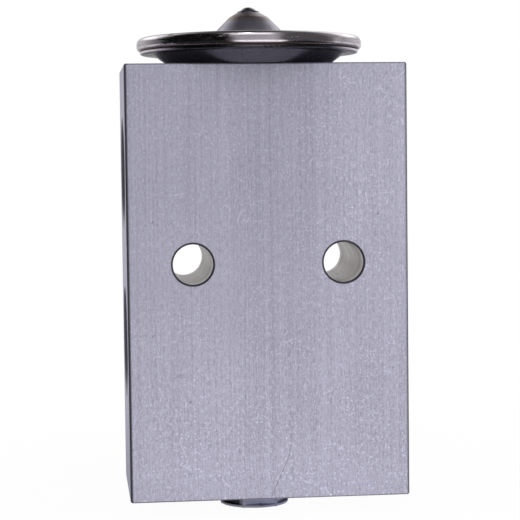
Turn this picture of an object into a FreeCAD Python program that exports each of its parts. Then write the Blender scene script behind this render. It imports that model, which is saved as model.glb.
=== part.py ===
import FreeCAD, Part
import math
import os
import re
import Sketcher
from FreeCAD import Placement, Rotation, Vector

# Thermostatic expansion valve of the block kind. A sawn aluminium bar carries four ports on its two
# narrow sides: the suction gas crosses it straight through near the top, the liquid comes in low on
# the right and leaves towards the evaporator on the left. A welded steel power head is screwed into
# the top. Its diaphragm pushes a thrust disc, a sensing rod and a thin pin down on a ball, which a
# spring holds against the orifice. A hexagon screw in the bottom sets the spring's force.
# Millimetres. +Z points up to the power head. The origin lies under the middle of the block, level
# with the screw's outer face.

doc = FreeCAD.newDocument("expansion_valve")

# Driving dimensions. Heights are counted from the block's sawn bottom face.
SIZES = {
    # Block
    "block_width": 45.0,
    "block_depth": 24.6,
    "block_height": 69.6,
    "block_corner": 0.4,
    "block_break": 0.35,
    "axis_offset": -1.5,
    # Through holes for the two mounting bolts
    "bolt_bore": 6.4,
    "bolt_spacing": 24.1,
    "bolt_height": 37.85,
    "bolt_break": 0.2,
    # Suction passage and the evaporator's liquid port, on the left
    "suction_height": 52.4,
    "outlet_height": 24.65,
    "port_bore": 16.4,
    "port_mouth": 18.4,
    "port_depth": 12.0,
    "passage_bore": 13.0,
    "outlet_drill": 5.4,
    # Liquid inlet, on the right
    "inlet_height": 14.5,
    "inlet_bore": 12.4,
    "inlet_mouth": 14.4,
    "inlet_depth": 11.0,
    "inlet_drill": 7.0,
    "drill_angle": 118.0,
    # Stepped bore under the power head
    "head_thread": 18.0,
    "head_thread_depth": 8.2,
    "gas_bore": 12.0,
    "head_seal_depth": 1.5,
    # Rod and pin guides
    "rod_seal_bore": 9.0,
    "seal_recess": 0.45,
    "rod_floor": 33.6,
    # Spring chamber and orifice
    "chamber_bore": 12.0,
    "seat_rise": 1.2,
    "orifice_bore": 3.6,
    "orifice_length": 1.55,
    "screw_thread": 14.0,
    "screw_room": 0.9,
    "screw_mouth": 0.6,
    # Clearances
    "thread_play": 0.1,
    "slide_play": 0.05,
    "soft_play": 0.03,
    "seat_play": 0.1,
    "rod_tip_play": 0.8,
    # Adjusting screw
    "hex_flats": 9.8,
    "hex_length": 2.75,
    "hex_turn": 5.2,
    "collar_width": 11.3,
    "collar_thickness": 0.42,
    "collar_round": 0.25,
    "screw_recess": 0.4,
    "screw_thread_length": 4.3,
    "screw_land_length": 3.8,
    "screw_lip": 0.5,
    "screw_groove_width": 1.6,
    "screw_groove_depth": 1.25,
    "spigot_length": 1.3,
    "spigot_break": 0.4,
    "spigot_play": 0.3,
    # Superheat spring
    "spring_outer": 8.6,
    "spring_wire": 1.0,
    "spring_turns": 4.5,
    "spring_grind": 0.2,
    # Ball and its carrier
    "ball_width": 4.8,
    "carrier_flange_thickness": 1.0,
    "carrier_flange_gap": 0.65,
    "carrier_cup": 6.4,
    "carrier_lip": 1.0,
    "carrier_floor": 0.9,
    "carrier_spigot_length": 2.6,
    # Damper ring
    "damper_thickness": 0.3,
    "damper_arm_width": 2.2,
    "damper_arm_length": 3.2,
    "damper_gap": 0.25,
    "damper_root": 0.8,
    "damper_arms": 3,
    # Pin and sensing rod
    "pin_width": 2.4,
    "pin_break": 0.3,
    "rod_width": 5.0,
    "rod_body_width": 6.8,
    "rod_body_rise": 1.7,
    "rod_tip_break": 0.4,
    # Rod seal, washer and retainer
    "seal_washer_thickness": 0.5,
    "retainer_thickness": 0.35,
    "retainer_notch": 0.5,
    "retainer_notch_width": 1.0,
    "retainer_notches": 8,
    # Head cup and its neck
    "neck_gap": 0.5,
    "neck_bore": 12.4,
    "neck_break": 0.5,
    "cup_floor": 0.9,
    "cup_wall": 1.0,
    "cup_foot": 12.95,
    "cup_foot_round": 1.5,
    "cup_rise": 2.05,
    "cup_spread": 2.8,
    "lip_inset": 0.5,
    "lip_thickness": 0.4,
    "lip_round": 0.3,
    "lip_bend_round": 0.8,
    # Diaphragm
    "diaphragm_thickness": 0.15,
    "diaphragm_inset": 0.75,
    "wave_start": 10.6,
    "wave_pitch": 1.5,
    "wave_height": 0.15,
    "wave_slope": 0.45,
    "wave_count": 3,
    # Head cover
    "rim_radius": 18.45,
    "rim_thickness": 2.1,
    "rim_wall": 1.1,
    "rim_edge_round": 0.55,
    "cover_wall": 0.9,
    "cover_recess_radius": 15.8,
    "cover_recess": 0.55,
    "dome_rise": 3.35,
    "dome_shoulder": 3.2,
    "land_rise": 0.85,
    "land_radius": 1.75,
    "dome_foot_round": 0.8,
    # Charge plug
    "plug_radius": 1.15,
    "plug_depth": 1.6,
    "plug_head_radius": 1.55,
    "plug_head_height": 0.85,
    # Thrust disc
    "disc_radius": 10.0,
    "disc_thickness": 0.95,
    "disc_round": 0.5,
    "hub_radius": 4.6,
    "hub_length": 4.0,
    "rod_socket_depth": 3.7,
    "socket_play": 0.02,
}

# Sizes and heights that follow from the driving dimensions. Levels count from the origin.
PLACES = {
    "block_bottom": "hex_length",
    "block_top": "hex_length + block_height",
    # Half the cone angle of a drill point gives the length of each drilled step.
    "drill_slope": "1 / tan(drill_angle / 2 * 1deg)",
    "passage_floor": "suction_height - passage_bore / 2",
    "seal_stack": "(rod_seal_bore - rod_width) / 2 + seal_washer_thickness + retainer_thickness",
    "seal_floor": "passage_floor - seal_recess - seal_stack",
    "rod_body_height": "passage_floor + rod_body_rise",
    "seat_height": "outlet_height - outlet_drill / 2 - orifice_length",
    "screw_bore_depth": "screw_recess + screw_thread_length + screw_room",
    "head_seal_bore": "head_thread + 2 * (head_seal_depth + thread_play)",
    "neck_length": "head_thread_depth - neck_gap",
    "carrier_flange": "chamber_bore - 2 * (damper_gap + damper_thickness + carrier_flange_gap)",
    "cup_flare": "cup_spread / cup_rise",
    "lip_radius": "rim_radius - lip_inset",
    "diaphragm_radius": "rim_radius - diaphragm_inset",
    "rim_round": "rim_thickness - rim_wall",
    "ball_drop": "sqrt(ball_width ^ 2 - orifice_bore ^ 2) / 2",
    "ball_level": "hex_length + seat_height - ball_drop - seat_play",
    "carrier_level": "ball_level - ball_width / 2 - carrier_floor - slide_play",
    "screw_top": "hex_length + screw_recess + screw_thread_length + screw_land_length",
    "rod_level": "hex_length + rod_floor + rod_tip_play",
    "lip_level": "block_top + cup_rise",
    "diaphragm_level": "lip_level + lip_thickness",
    "rim_level": "diaphragm_level + diaphragm_thickness",
    "rim_top": "rim_level + rim_thickness",
    "disc_level": "diaphragm_level - disc_thickness",
    "land_level": "rim_top + dome_rise + land_rise",
    "plug_ball": "(plug_head_radius ^ 2 + plug_head_height ^ 2) / (2 * plug_head_height)",
}


def fill_sheet(name, cells, write):
    """Puts each named value in a row of its own: the name in A, the value in B."""
    sheet = doc.addObject("Spreadsheet::Sheet", name)
    for row, (alias, content) in enumerate(cells.items(), start=1):
        sheet.set(f"A{row}", alias)
        sheet.set(f"B{row}", write(content))
        sheet.setAlias(f"B{row}", alias)
    return sheet


def bound(text):
    """Turns plain names into references to the two sheets."""
    def refer(match):
        word = match.group(0)
        if word in SIZES:
            return f"sizes.{word}"
        if word in PLACES:
            return f"places.{word}"
        return word
    return re.sub(r"[a-z][a-z_]*", refer, text)


def formula(text):
    """A cell of the places sheet, which names its own neighbours without the sheet's name."""
    return "=" + bound(text).replace("places.", "")


sizes = fill_sheet("sizes", SIZES, str)
doc.recompute()
places = fill_sheet("places", PLACES, formula)
doc.recompute()


def size(name):
    return float(sizes.get(name))


def place(name):
    return float(places.get(name))


# Helpers that every piece uses

def new_body(node):
    body = doc.addObject("PartDesign::Body", node)
    body.Label = node
    return body


def on_plane(body, role, name):
    """A sketch on one of the body's own origin planes."""
    plane = next(feature for feature in body.Origin.OriginFeatures if feature.Role == role)
    sketch = body.newObject("Sketcher::SketchObject", name)
    sketch.AttachmentSupport = [(plane, "")]
    sketch.MapMode = "FlatFace"
    return sketch


def tie(sketch, kind, index, *rest):
    """Adds a dimension whose value, the last argument, is an expression."""
    *point, text = rest
    row = sketch.addConstraint(Sketcher.Constraint(kind, index, *point, 1.0))
    sketch.setExpression(f"Constraints[{row}]", bound(text))


def tie_point(sketch, index, point, across, up):
    """Ties a point of a line or arc to its place, given as two expressions."""
    for kind, axis, text in (("DistanceX", -2, across), ("DistanceY", -1, up)):
        if text == "0":
            sketch.addConstraint(Sketcher.Constraint("PointOnObject", index, point, axis))
        else:
            tie(sketch, kind, index, point, text)


def outline(sketch, points):
    """A closed outline of straight lines. Each corner is a pair of expressions."""
    count = len(points)
    turns = [2 * math.pi * i / count for i in range(count)]
    start = [Vector(math.cos(turn), math.sin(turn), 0) for turn in turns]
    for i in range(count):
        sketch.addGeometry(Part.LineSegment(start[i], start[(i + 1) % count]), False)
    for i in range(count):
        sketch.addConstraint(Sketcher.Constraint("Coincident", i, 2, (i + 1) % count, 1))
    for i, (across, up) in enumerate(points):
        tie_point(sketch, i, 1, across, up)
    return sketch


def spin_line(sketch, ends):
    """A construction line that serves as the axis of a turned cut."""
    index = sketch.addGeometry(Part.LineSegment(Vector(0, 0, 0), Vector(1, 1, 0)), True)
    for point, (across, up) in enumerate(ends, start=1):
        tie_point(sketch, index, point, across, up)
    return (sketch, ["Axis0"])


def turned(body, name, points):
    """Revolves an outline of (radius, height) corners about the body's vertical axis."""
    sketch = outline(on_plane(body, "XZ_Plane", f"{name}_outline"), points)
    feature = body.newObject("PartDesign::Revolution", name)
    feature.Profile = sketch
    feature.ReferenceAxis = (sketch, ["V_Axis"])
    feature.Angle = 360
    sketch.Visibility = False
    doc.recompute()
    return feature


def turned_cut(body, name, points, axis_ends):
    """Cuts a stepped bore: an outline turned about a line of the same sketch."""
    sketch = outline(on_plane(body, "XZ_Plane", f"{name}_outline"), points)
    axis = spin_line(sketch, axis_ends)
    before = body.Shape.Volume
    feature = body.newObject("PartDesign::Groove", name)
    feature.Profile = sketch
    feature.ReferenceAxis = axis
    feature.Angle = 360
    doc.recompute()
    if not body.Shape.Volume < before:
        raise RuntimeError(f"{name} cuts nothing")
    return feature


def edges_where(feature, test):
    """Names of the edges whose every vertex and middle point passes the test."""
    names = []
    for number, edge in enumerate(feature.Shape.Edges, start=1):
        middle = edge.valueAt((edge.FirstParameter + edge.LastParameter) / 2)
        if all(test(point) for point in [vertex.Point for vertex in edge.Vertexes] + [middle]):
            names.append(f"Edge{number}")
    if not names:
        raise RuntimeError(f"no edge found on {feature.Label}")
    return names


def near(value, target):
    return abs(value - target) < 1e-4


def rounded(body, name, base, edges, radius):
    feature = body.newObject("PartDesign::Fillet", name)
    feature.Base = (base, edges)
    feature.setExpression("Radius", bound(radius))
    doc.recompute()
    return feature


def bevelled(body, name, base, edges, width):
    feature = body.newObject("PartDesign::Chamfer", name)
    feature.Base = (base, edges)
    feature.setExpression("Size", bound(width))
    doc.recompute()
    return feature


def circle_at(feature, radius, level):
    """Names the edges of a turned piece that lie on one circle."""
    return edges_where(feature, lambda p: near(math.hypot(p.x, p.y), radius) and near(p.z, level))


def seat_at(thing, level):
    """Stands a piece on the valve's axis at one of the levels."""
    thing.setExpression("Placement.Base.x", bound("axis_offset"))
    thing.setExpression("Placement.Base.z", bound(level))


# The block: a drawn bar, sawn to length, deburred, bored through for its bolts and ports

def make_block():
    body = new_body("valve_block")
    half_width = "block_width / 2"
    half_depth = "block_depth / 2"
    section = outline(on_plane(body, "XY_Plane", "bar_section"), [
        (f"-{half_width}", f"-{half_depth}"), (half_width, f"-{half_depth}"),
        (half_width, half_depth), (f"-{half_width}", half_depth)])
    bar = body.newObject("PartDesign::Pad", "bar")
    bar.Profile = section
    bar.setExpression("Length", bound("block_height"))
    doc.recompute()
    corner_x = size("block_width") / 2
    corner_y = size("block_depth") / 2
    upright = edges_where(bar, lambda p: near(abs(p.x), corner_x) and near(abs(p.y), corner_y))
    drawn = rounded(body, "drawn_corners", bar, upright, "block_corner")
    ends = (0.0, size("block_height"))
    sawn = edges_where(drawn, lambda p: near(p.z, ends[0])) + edges_where(drawn, lambda p: near(p.z, ends[1]))
    rounded(body, "deburred_ends", drawn, sawn, "block_break")

    # Bolt holes, right through from front to back
    holes = on_plane(body, "XZ_Plane", "bolt_circles")
    for index, across in enumerate(("-bolt_spacing / 2", "bolt_spacing / 2")):
        holes.addGeometry(Part.Circle(Vector(index, 1, 0), Vector(0, 0, 1), 1), False)
        tie_point(holes, index, 3, across, "bolt_height")
        tie(holes, "Radius", index, "bolt_bore / 2")
    before = body.Shape.Volume
    drilled = body.newObject("PartDesign::Pocket", "bolt_holes")
    drilled.Profile = holes
    drilled.Type = "ThroughAll"
    drilled.SideType = "Symmetric"
    doc.recompute()
    hole_volume = math.pi * size("bolt_bore") ** 2 / 4 * size("block_depth")
    if not near((before - body.Shape.Volume) / hole_volume, 2.0):
        raise RuntimeError("the bolt holes are not right through")
    reach = size("bolt_bore") / 2
    level = size("bolt_height")
    mouths = edges_where(drilled, lambda p: near(abs(p.y), corner_y) and abs(p.z - level) < reach * 1.01)
    bevelled(body, "bolt_mouths", drilled, mouths, "bolt_break")

    # Suction passage: a threaded port in each side, joined by a smaller bore
    mouth_step = "(port_mouth - port_bore) / 2"
    shoulder = f"({half_width} - port_depth)"
    run_in = "(port_bore - passage_bore) / 2 * drill_slope"
    right = [
        (half_width, "suction_height + port_mouth / 2"),
        (f"{half_width} - {mouth_step}", "suction_height + port_bore / 2"),
        (shoulder, "suction_height + port_bore / 2"),
        (f"{shoulder} - {run_in}", "suction_height + passage_bore / 2")]
    left = [(f"-({across})", up) for across, up in reversed(right)]
    turned_cut(body, "suction_passage",
               [(half_width, "suction_height")] + right + left + [(f"-{half_width}", "suction_height")],
               [(f"-{half_width}", "suction_height"), (half_width, "suction_height")])

    # Liquid outlet to the evaporator: threaded, with the drill's cone, then a drilled way to the axis
    out_step = "(port_bore - outlet_drill) / 2 * drill_slope"
    turned_cut(body, "outlet_port", [
        (f"-{half_width}", "outlet_height"),
        (f"-{half_width}", "outlet_height + port_mouth / 2"),
        (f"-{half_width} + {mouth_step}", "outlet_height + port_bore / 2"),
        (f"-{shoulder}", "outlet_height + port_bore / 2"),
        (f"-{shoulder} + {out_step}", "outlet_height + outlet_drill / 2"),
        ("axis_offset + orifice_bore / 2", "outlet_height + outlet_drill / 2"),
        ("axis_offset + orifice_bore / 2 + outlet_drill / 2 * drill_slope", "outlet_height")],
        [(f"-{half_width}", "outlet_height"), ("0", "outlet_height")])

    # Liquid inlet, into the spring chamber
    in_shoulder = f"({half_width} - inlet_depth)"
    turned_cut(body, "inlet_port", [
        (half_width, "inlet_height"),
        (half_width, "inlet_height + inlet_mouth / 2"),
        (f"{half_width} - (inlet_mouth - inlet_bore) / 2", "inlet_height + inlet_bore / 2"),
        (in_shoulder, "inlet_height + inlet_bore / 2"),
        (f"{in_shoulder} - (inlet_bore - inlet_drill) / 2 * drill_slope", "inlet_height + inlet_drill / 2"),
        ("axis_offset", "inlet_height + inlet_drill / 2"),
        ("axis_offset", "inlet_height")],
        [("0", "inlet_height"), (half_width, "inlet_height")])

    # Stepped bores along the valve's axis, from the top down
    upright_axis = [("axis_offset", "0"), ("axis_offset", "block_height")]
    turned_cut(body, "head_bore", [
        ("axis_offset", "block_height"),
        ("axis_offset + head_seal_bore / 2", "block_height"),
        ("axis_offset + head_seal_bore / 2", "block_height - head_seal_depth"),
        ("axis_offset + head_thread / 2", "block_height - head_seal_depth"),
        ("axis_offset + head_thread / 2", "block_height - head_thread_depth"),
        ("axis_offset + gas_bore / 2", "block_height - head_thread_depth"),
        ("axis_offset + gas_bore / 2", "suction_height"),
        ("axis_offset", "suction_height")], upright_axis)
    turned_cut(body, "rod_guide", [
        ("axis_offset", "suction_height"),
        ("axis_offset + rod_seal_bore / 2", "suction_height"),
        ("axis_offset + rod_seal_bore / 2", "seal_floor"),
        ("axis_offset + rod_width / 2 + slide_play", "seal_floor"),
        ("axis_offset + rod_width / 2 + slide_play", "rod_floor"),
        ("axis_offset + pin_width / 2 + slide_play", "rod_floor"),
        ("axis_offset + pin_width / 2 + slide_play", "outlet_height"),
        ("axis_offset", "outlet_height")], upright_axis)
    turned_cut(body, "spring_chamber", [
        ("axis_offset", "0"),
        ("axis_offset + screw_thread / 2 + screw_mouth", "0"),
        ("axis_offset + screw_thread / 2", "screw_mouth"),
        ("axis_offset + screw_thread / 2", "screw_bore_depth"),
        ("axis_offset + chamber_bore / 2", "screw_bore_depth"),
        ("axis_offset + chamber_bore / 2", "seat_height - seat_rise"),
        ("axis_offset + orifice_bore / 2", "seat_height"),
        ("axis_offset + orifice_bore / 2", "outlet_height"),
        ("axis_offset", "outlet_height")], upright_axis)
    body.setExpression("Placement.Base.z", bound("block_bottom"))
    return body


# The adjusting screw and what it carries

def make_adjuster_screw():
    """Hexagon with a thin round collar at its outer end, a threaded shank, a seal land and a spigot."""
    body = new_body("adjuster_screw")
    thread = "screw_thread / 2 - thread_play"
    land = "chamber_bore / 2 - thread_play"
    foot = "hex_length + screw_recess"
    land_foot = f"({foot} + screw_thread_length)"
    groove = f"({land_foot} + screw_land_length - screw_lip - screw_groove_width)"
    floor = f"{land} - screw_groove_depth"
    spigot = "(spring_outer / 2 - spring_wire - spigot_play)"
    turned(body, "shank", [
        ("0", foot), (f"{thread} - screw_mouth", foot), (thread, f"{foot} + screw_mouth"),
        (thread, land_foot), (land, land_foot), (land, groove), (floor, groove),
        (floor, f"{groove} + screw_groove_width"), (land, f"{groove} + screw_groove_width"),
        (land, "screw_top"), (spigot, "screw_top"), (spigot, "screw_top + spigot_length - spigot_break"),
        (f"{spigot} - spigot_break", "screw_top + spigot_length"),
        ("0", "screw_top + spigot_length")])
    hexagon = on_plane(body, "XY_Plane", "hex_section")
    corner = "hex_flats / 2 / cos(30deg)"
    outline(hexagon, [
        (corner, "0"), (f"{corner} / 2", "hex_flats / 2"), (f"-{corner} / 2", "hex_flats / 2"),
        (f"-{corner}", "0"), (f"-{corner} / 2", "-hex_flats / 2"), (f"{corner} / 2", "-hex_flats / 2")])
    head = body.newObject("PartDesign::Pad", "hexagon")
    head.Profile = hexagon
    head.setExpression("Length", bound(foot))
    doc.recompute()
    collar = turned(body, "collar", [
        ("0", "0"), ("collar_width / 2", "0"), ("collar_width / 2", "collar_thickness"),
        ("0", "collar_thickness")])
    outer = circle_at(collar, size("collar_width") / 2, 0.0)
    rounded(body, "collar_edge", collar, outer, "collar_round")
    body.setExpression("Placement.Base.x", bound("axis_offset"))
    body.setExpression("Placement.Rotation.Angle", bound("hex_turn"))
    return body


def make_ring(node, inner, outer, level):
    """A seal of round section between two walls; inner and outer are radii of those walls."""
    ring = doc.addObject("Part::Torus", node)
    ring.Label = node
    ring.setExpression("Radius2", bound(f"(({outer}) - ({inner})) / 2 - soft_play"))
    ring.setExpression("Radius1", bound(f"(({outer}) + ({inner})) / 2"))
    seat_at(ring, level)
    return ring


def make_adjuster_seal():
    land = "chamber_bore / 2 - thread_play"
    middle = "screw_top - screw_lip - screw_groove_width / 2"
    return make_ring("adjuster_seal", f"{land} - screw_groove_depth", "chamber_bore / 2", middle)


def make_spring():
    """Compression spring with ground ends, between the screw and the ball's carrier."""
    spring = doc.addObject("Part::Feature", "superheat_spring")
    spring.Label = "superheat_spring"
    wire = size("spring_wire")
    mean = (size("spring_outer") - wire) / 2
    length = place("carrier_level") - place("screw_top")
    turns = size("spring_turns")
    start = wire / 2 - size("spring_grind")
    pitch = (length - 2 * start) / turns
    path = Part.makeHelix(pitch, pitch * turns, mean)
    path.translate(Vector(0, 0, start))
    section = Part.Wire(Part.Circle(Vector(mean, 0, start), Vector(0, 1, 0), wire / 2).toShape())
    coil = Part.Wire(path).makePipeShell([section], True, True)
    stock = Part.makeCylinder(size("spring_outer"), length)
    spring.Shape = coil.common(stock)
    spring.Placement = Placement(Vector(size("axis_offset"), 0, place("screw_top")), Rotation())
    return spring


# The ball, its carrier and the damper ring

def make_ball():
    ball = doc.addObject("Part::Sphere", "valve_ball")
    ball.Label = "valve_ball"
    ball.setExpression("Radius", bound("ball_width / 2"))
    seat_at(ball, "ball_level")
    return ball


def make_carrier():
    """A flanged cup: the ball lies in its round hollow and the spring pushes on its flange."""
    body = new_body("ball_carrier")
    spigot = "(spring_outer / 2 - spring_wire - spigot_play)"
    top = "(carrier_floor + ball_width / 2 - carrier_lip)"
    turned(body, "carrier", [
        ("0", "-carrier_spigot_length"), (f"{spigot} - spigot_break", "-carrier_spigot_length"),
        (spigot, "spigot_break - carrier_spigot_length"), (spigot, "0"), ("carrier_flange / 2", "0"),
        ("carrier_flange / 2", "carrier_flange_thickness"), ("carrier_cup / 2", "carrier_flange_thickness"),
        ("carrier_cup / 2", top), ("0", top)])
    hollow = on_plane(body, "XZ_Plane", "hollow_outline")
    arc = Part.ArcOfCircle(Part.Circle(Vector(0, 1, 0), Vector(0, 0, 1), 1), -math.pi / 2, math.pi / 2)
    hollow.addGeometry(arc, False)
    hollow.addGeometry(Part.LineSegment(Vector(0, 2, 0), Vector(0, 0, 0)), False)
    hollow.addConstraint(Sketcher.Constraint("Coincident", 0, 2, 1, 1))
    hollow.addConstraint(Sketcher.Constraint("Coincident", 1, 2, 0, 1))
    hollow.addConstraint(Sketcher.Constraint("PointOnObject", 0, 1, -2))
    hollow.addConstraint(Sketcher.Constraint("PointOnObject", 0, 2, -2))
    tie_point(hollow, 0, 3, "0", "carrier_floor + ball_width / 2 + slide_play")
    tie(hollow, "Radius", 0, "ball_width / 2 + slide_play")
    before = body.Shape.Volume
    cut = body.newObject("PartDesign::Groove", "ball_hollow")
    cut.Profile = hollow
    cut.ReferenceAxis = (hollow, ["V_Axis"])
    cut.Angle = 360
    doc.recompute()
    if not body.Shape.Volume < before:
        raise RuntimeError("the ball's hollow cuts nothing")
    seat_at(body, "carrier_level")
    return body


def make_damper():
    """A sprung ring on the carrier's flange. Three bent arms rub on the chamber wall."""
    body = new_body("damper_spring")
    wall = "(chamber_bore / 2 - damper_gap)"
    turned(body, "ring", [
        ("carrier_cup / 2 + slide_play", "0"), ("carrier_flange / 2", "0"),
        ("carrier_flange / 2", "damper_thickness"), ("carrier_cup / 2 + slide_play", "damper_thickness")])
    half = "damper_arm_width / 2"
    tab = outline(on_plane(body, "XY_Plane", "tab_outline"), [
        ("carrier_flange / 2 - damper_root", f"-{half}"), (wall, f"-{half}"), (wall, half),
        ("carrier_flange / 2 - damper_root", half)])
    bridge = body.newObject("PartDesign::Pad", "bridge")
    bridge.Profile = tab
    bridge.setExpression("Length", bound("damper_thickness"))
    doc.recompute()
    strip = outline(on_plane(body, "XY_Plane", "arm_outline"), [
        (f"{wall} - damper_thickness", f"-{half}"), (wall, f"-{half}"), (wall, half),
        (f"{wall} - damper_thickness", half)])
    arm = body.newObject("PartDesign::Pad", "arm")
    arm.Profile = strip
    arm.setExpression("Length", bound("damper_arm_length"))
    arm.Reversed = True
    doc.recompute()
    copies = body.newObject("PartDesign::PolarPattern", "arms")
    copies.Originals = [bridge, arm]
    copies.Axis = (tab, ["N_Axis"])
    copies.Angle = 360
    copies.Occurrences = int(size("damper_arms"))
    body.Tip = copies
    doc.recompute()
    seat_at(body, "carrier_level + carrier_flange_thickness")
    return body


# The pin and the sensing rod

def make_pin():
    """Stands on the ball, passes the orifice and its guide and ends under the sensing rod."""
    body = new_body("push_pin")
    radius = "pin_width / 2"
    tall = "(rod_level - ball_level - ball_width / 2)"
    turned(body, "pin", [
        ("0", "0"), (f"{radius} - pin_break", "0"), (radius, "pin_break"),
        (radius, f"{tall} - pin_break"), (f"{radius} - pin_break", tall), ("0", tall)])
    seat_at(body, "ball_level + ball_width / 2")
    return body


def make_rod():
    """Thin where the block guides it, thicker across the suction gas, and held in the thrust disc."""
    body = new_body("sensing_rod")
    step = "(rod_body_height - rod_floor - rod_tip_play)"
    tall = "(disc_level - hub_length + rod_socket_depth - socket_play - rod_level)"
    rod = turned(body, "rod", [
        ("0", "0"), ("rod_width / 2", "0"), ("rod_width / 2", step),
        ("rod_body_width / 2", f"{step} + (rod_body_width - rod_width) / 2"),
        ("rod_body_width / 2", tall), ("0", tall)])
    tip = circle_at(rod, size("rod_width") / 2, 0.0)
    bevelled(body, "rod_tip", rod, tip, "rod_tip_break")
    seat_at(body, "rod_level")
    return body


def make_rod_seal():
    middle = "(hex_length + seal_floor + (rod_seal_bore - rod_width) / 4)"
    return make_ring("rod_seal", "rod_width / 2", "rod_seal_bore / 2", middle)


def make_seal_washer():
    """Flat washer that backs the rod's seal."""
    body = new_body("seal_washer")
    turned(body, "washer", [
        ("rod_width / 2 + thread_play", "0"), ("rod_seal_bore / 2 - slide_play", "0"),
        ("rod_seal_bore / 2 - slide_play", "seal_washer_thickness"),
        ("rod_width / 2 + thread_play", "seal_washer_thickness")])
    seat_at(body, "hex_length + seal_floor + (rod_seal_bore - rod_width) / 2")
    return body


def make_retainer():
    """Push-in ring with notches round its rim, which holds the washer and the seal down."""
    body = new_body("seal_retainer")
    rim = "(rod_seal_bore / 2 - slide_play)"
    ring = turned(body, "ring", [
        ("rod_width / 2 + retainer_notch", "0"), (rim, "0"), (rim, "retainer_thickness"),
        ("rod_width / 2 + retainer_notch", "retainer_thickness")])
    half = "retainer_notch_width / 2"
    notch = outline(on_plane(body, "XY_Plane", "notch_outline"), [
        (f"{rim} - retainer_notch", f"-{half}"), (f"{rim} + retainer_notch", f"-{half}"),
        (f"{rim} + retainer_notch", half), (f"{rim} - retainer_notch", half)])
    cut = body.newObject("PartDesign::Pocket", "notch")
    cut.Profile = notch
    cut.Type = "ThroughAll"
    cut.SideType = "Symmetric"
    doc.recompute()
    if not body.Shape.Volume < ring.Shape.Volume:
        raise RuntimeError("the retainer's notch cuts nothing")
    copies = body.newObject("PartDesign::PolarPattern", "notches")
    copies.Originals = [cut]
    copies.Axis = (notch, ["N_Axis"])
    copies.Angle = 360
    copies.Occurrences = int(size("retainer_notches"))
    body.Tip = copies
    doc.recompute()
    seat_at(body, "hex_length + seal_floor + (rod_seal_bore - rod_width) / 2 + seal_washer_thickness")
    return body


# The power head

def make_head_seal():
    inner = "head_thread / 2 - thread_play"
    section = "(head_seal_depth / 2 - soft_play)"
    ring = doc.addObject("Part::Torus", "head_seal")
    ring.Label = "head_seal"
    ring.setExpression("Radius2", bound(section))
    ring.setExpression("Radius1", bound(f"{inner} + soft_play + {section}"))
    seat_at(ring, "block_top - head_seal_depth / 2")
    return ring


def make_head_cup():
    """Pressed lower shell: threaded neck, flat floor, a wide cone and the lower lip."""
    body = new_body("head_cup")
    neck = "head_thread / 2 - thread_play"
    inner_foot = "(cup_foot - cup_wall * sqrt(1 + cup_flare ^ 2) + cup_floor * cup_flare)"
    lip_top = "(cup_rise + lip_thickness)"
    cup = turned(body, "cup", [
        ("neck_bore / 2", "-neck_length"), (f"{neck} - neck_break", "-neck_length"),
        (neck, "neck_break - neck_length"), (neck, "0"), ("cup_foot", "0"),
        ("cup_foot + cup_spread", "cup_rise"), ("lip_radius", "cup_rise"), ("lip_radius", lip_top),
        (f"{inner_foot} + ({lip_top} - cup_floor) * cup_flare", lip_top), (inner_foot, "cup_floor"),
        ("neck_bore / 2", "cup_floor")])
    foot = circle_at(cup, size("cup_foot"), 0.0)
    bent = rounded(body, "cup_bend", cup, foot, "cup_foot_round")
    outer = circle_at(bent, place("lip_radius"), size("cup_rise"))
    rolled = rounded(body, "lip_edge", bent, outer, "lip_round")
    inside = circle_at(rolled, size("cup_foot") + size("cup_spread"), size("cup_rise"))
    rounded(body, "lip_bend", rolled, inside, "lip_bend_round")
    seat_at(body, "block_top")
    return body


def make_diaphragm():
    """Thin sheet, clamped between the two lips, with round waves outside its flat middle."""
    body = new_body("diaphragm")
    lower = [("0", "0")]
    upper = [("0", "diaphragm_thickness")]
    for wave in range(int(size("wave_count"))):
        start = f"wave_start + wave_pitch * {wave}"
        crest = ((f"{start} + wave_slope", "wave_height"),
                 (f"{start} + wave_pitch - wave_slope", "wave_height"))
        for radius, lift in ((start, "0"),) + crest:
            lower.append((radius, lift))
            upper.append((radius, f"{lift} + diaphragm_thickness"))
    end = "wave_start + wave_pitch * wave_count"
    lower.append((end, "0"))
    upper.append((end, "diaphragm_thickness"))
    lower.append(("diaphragm_radius", "0"))
    upper.append(("diaphragm_radius", "diaphragm_thickness"))
    turned(body, "sheet", lower + upper[::-1])
    seat_at(body, "diaphragm_level")
    return body


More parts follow.
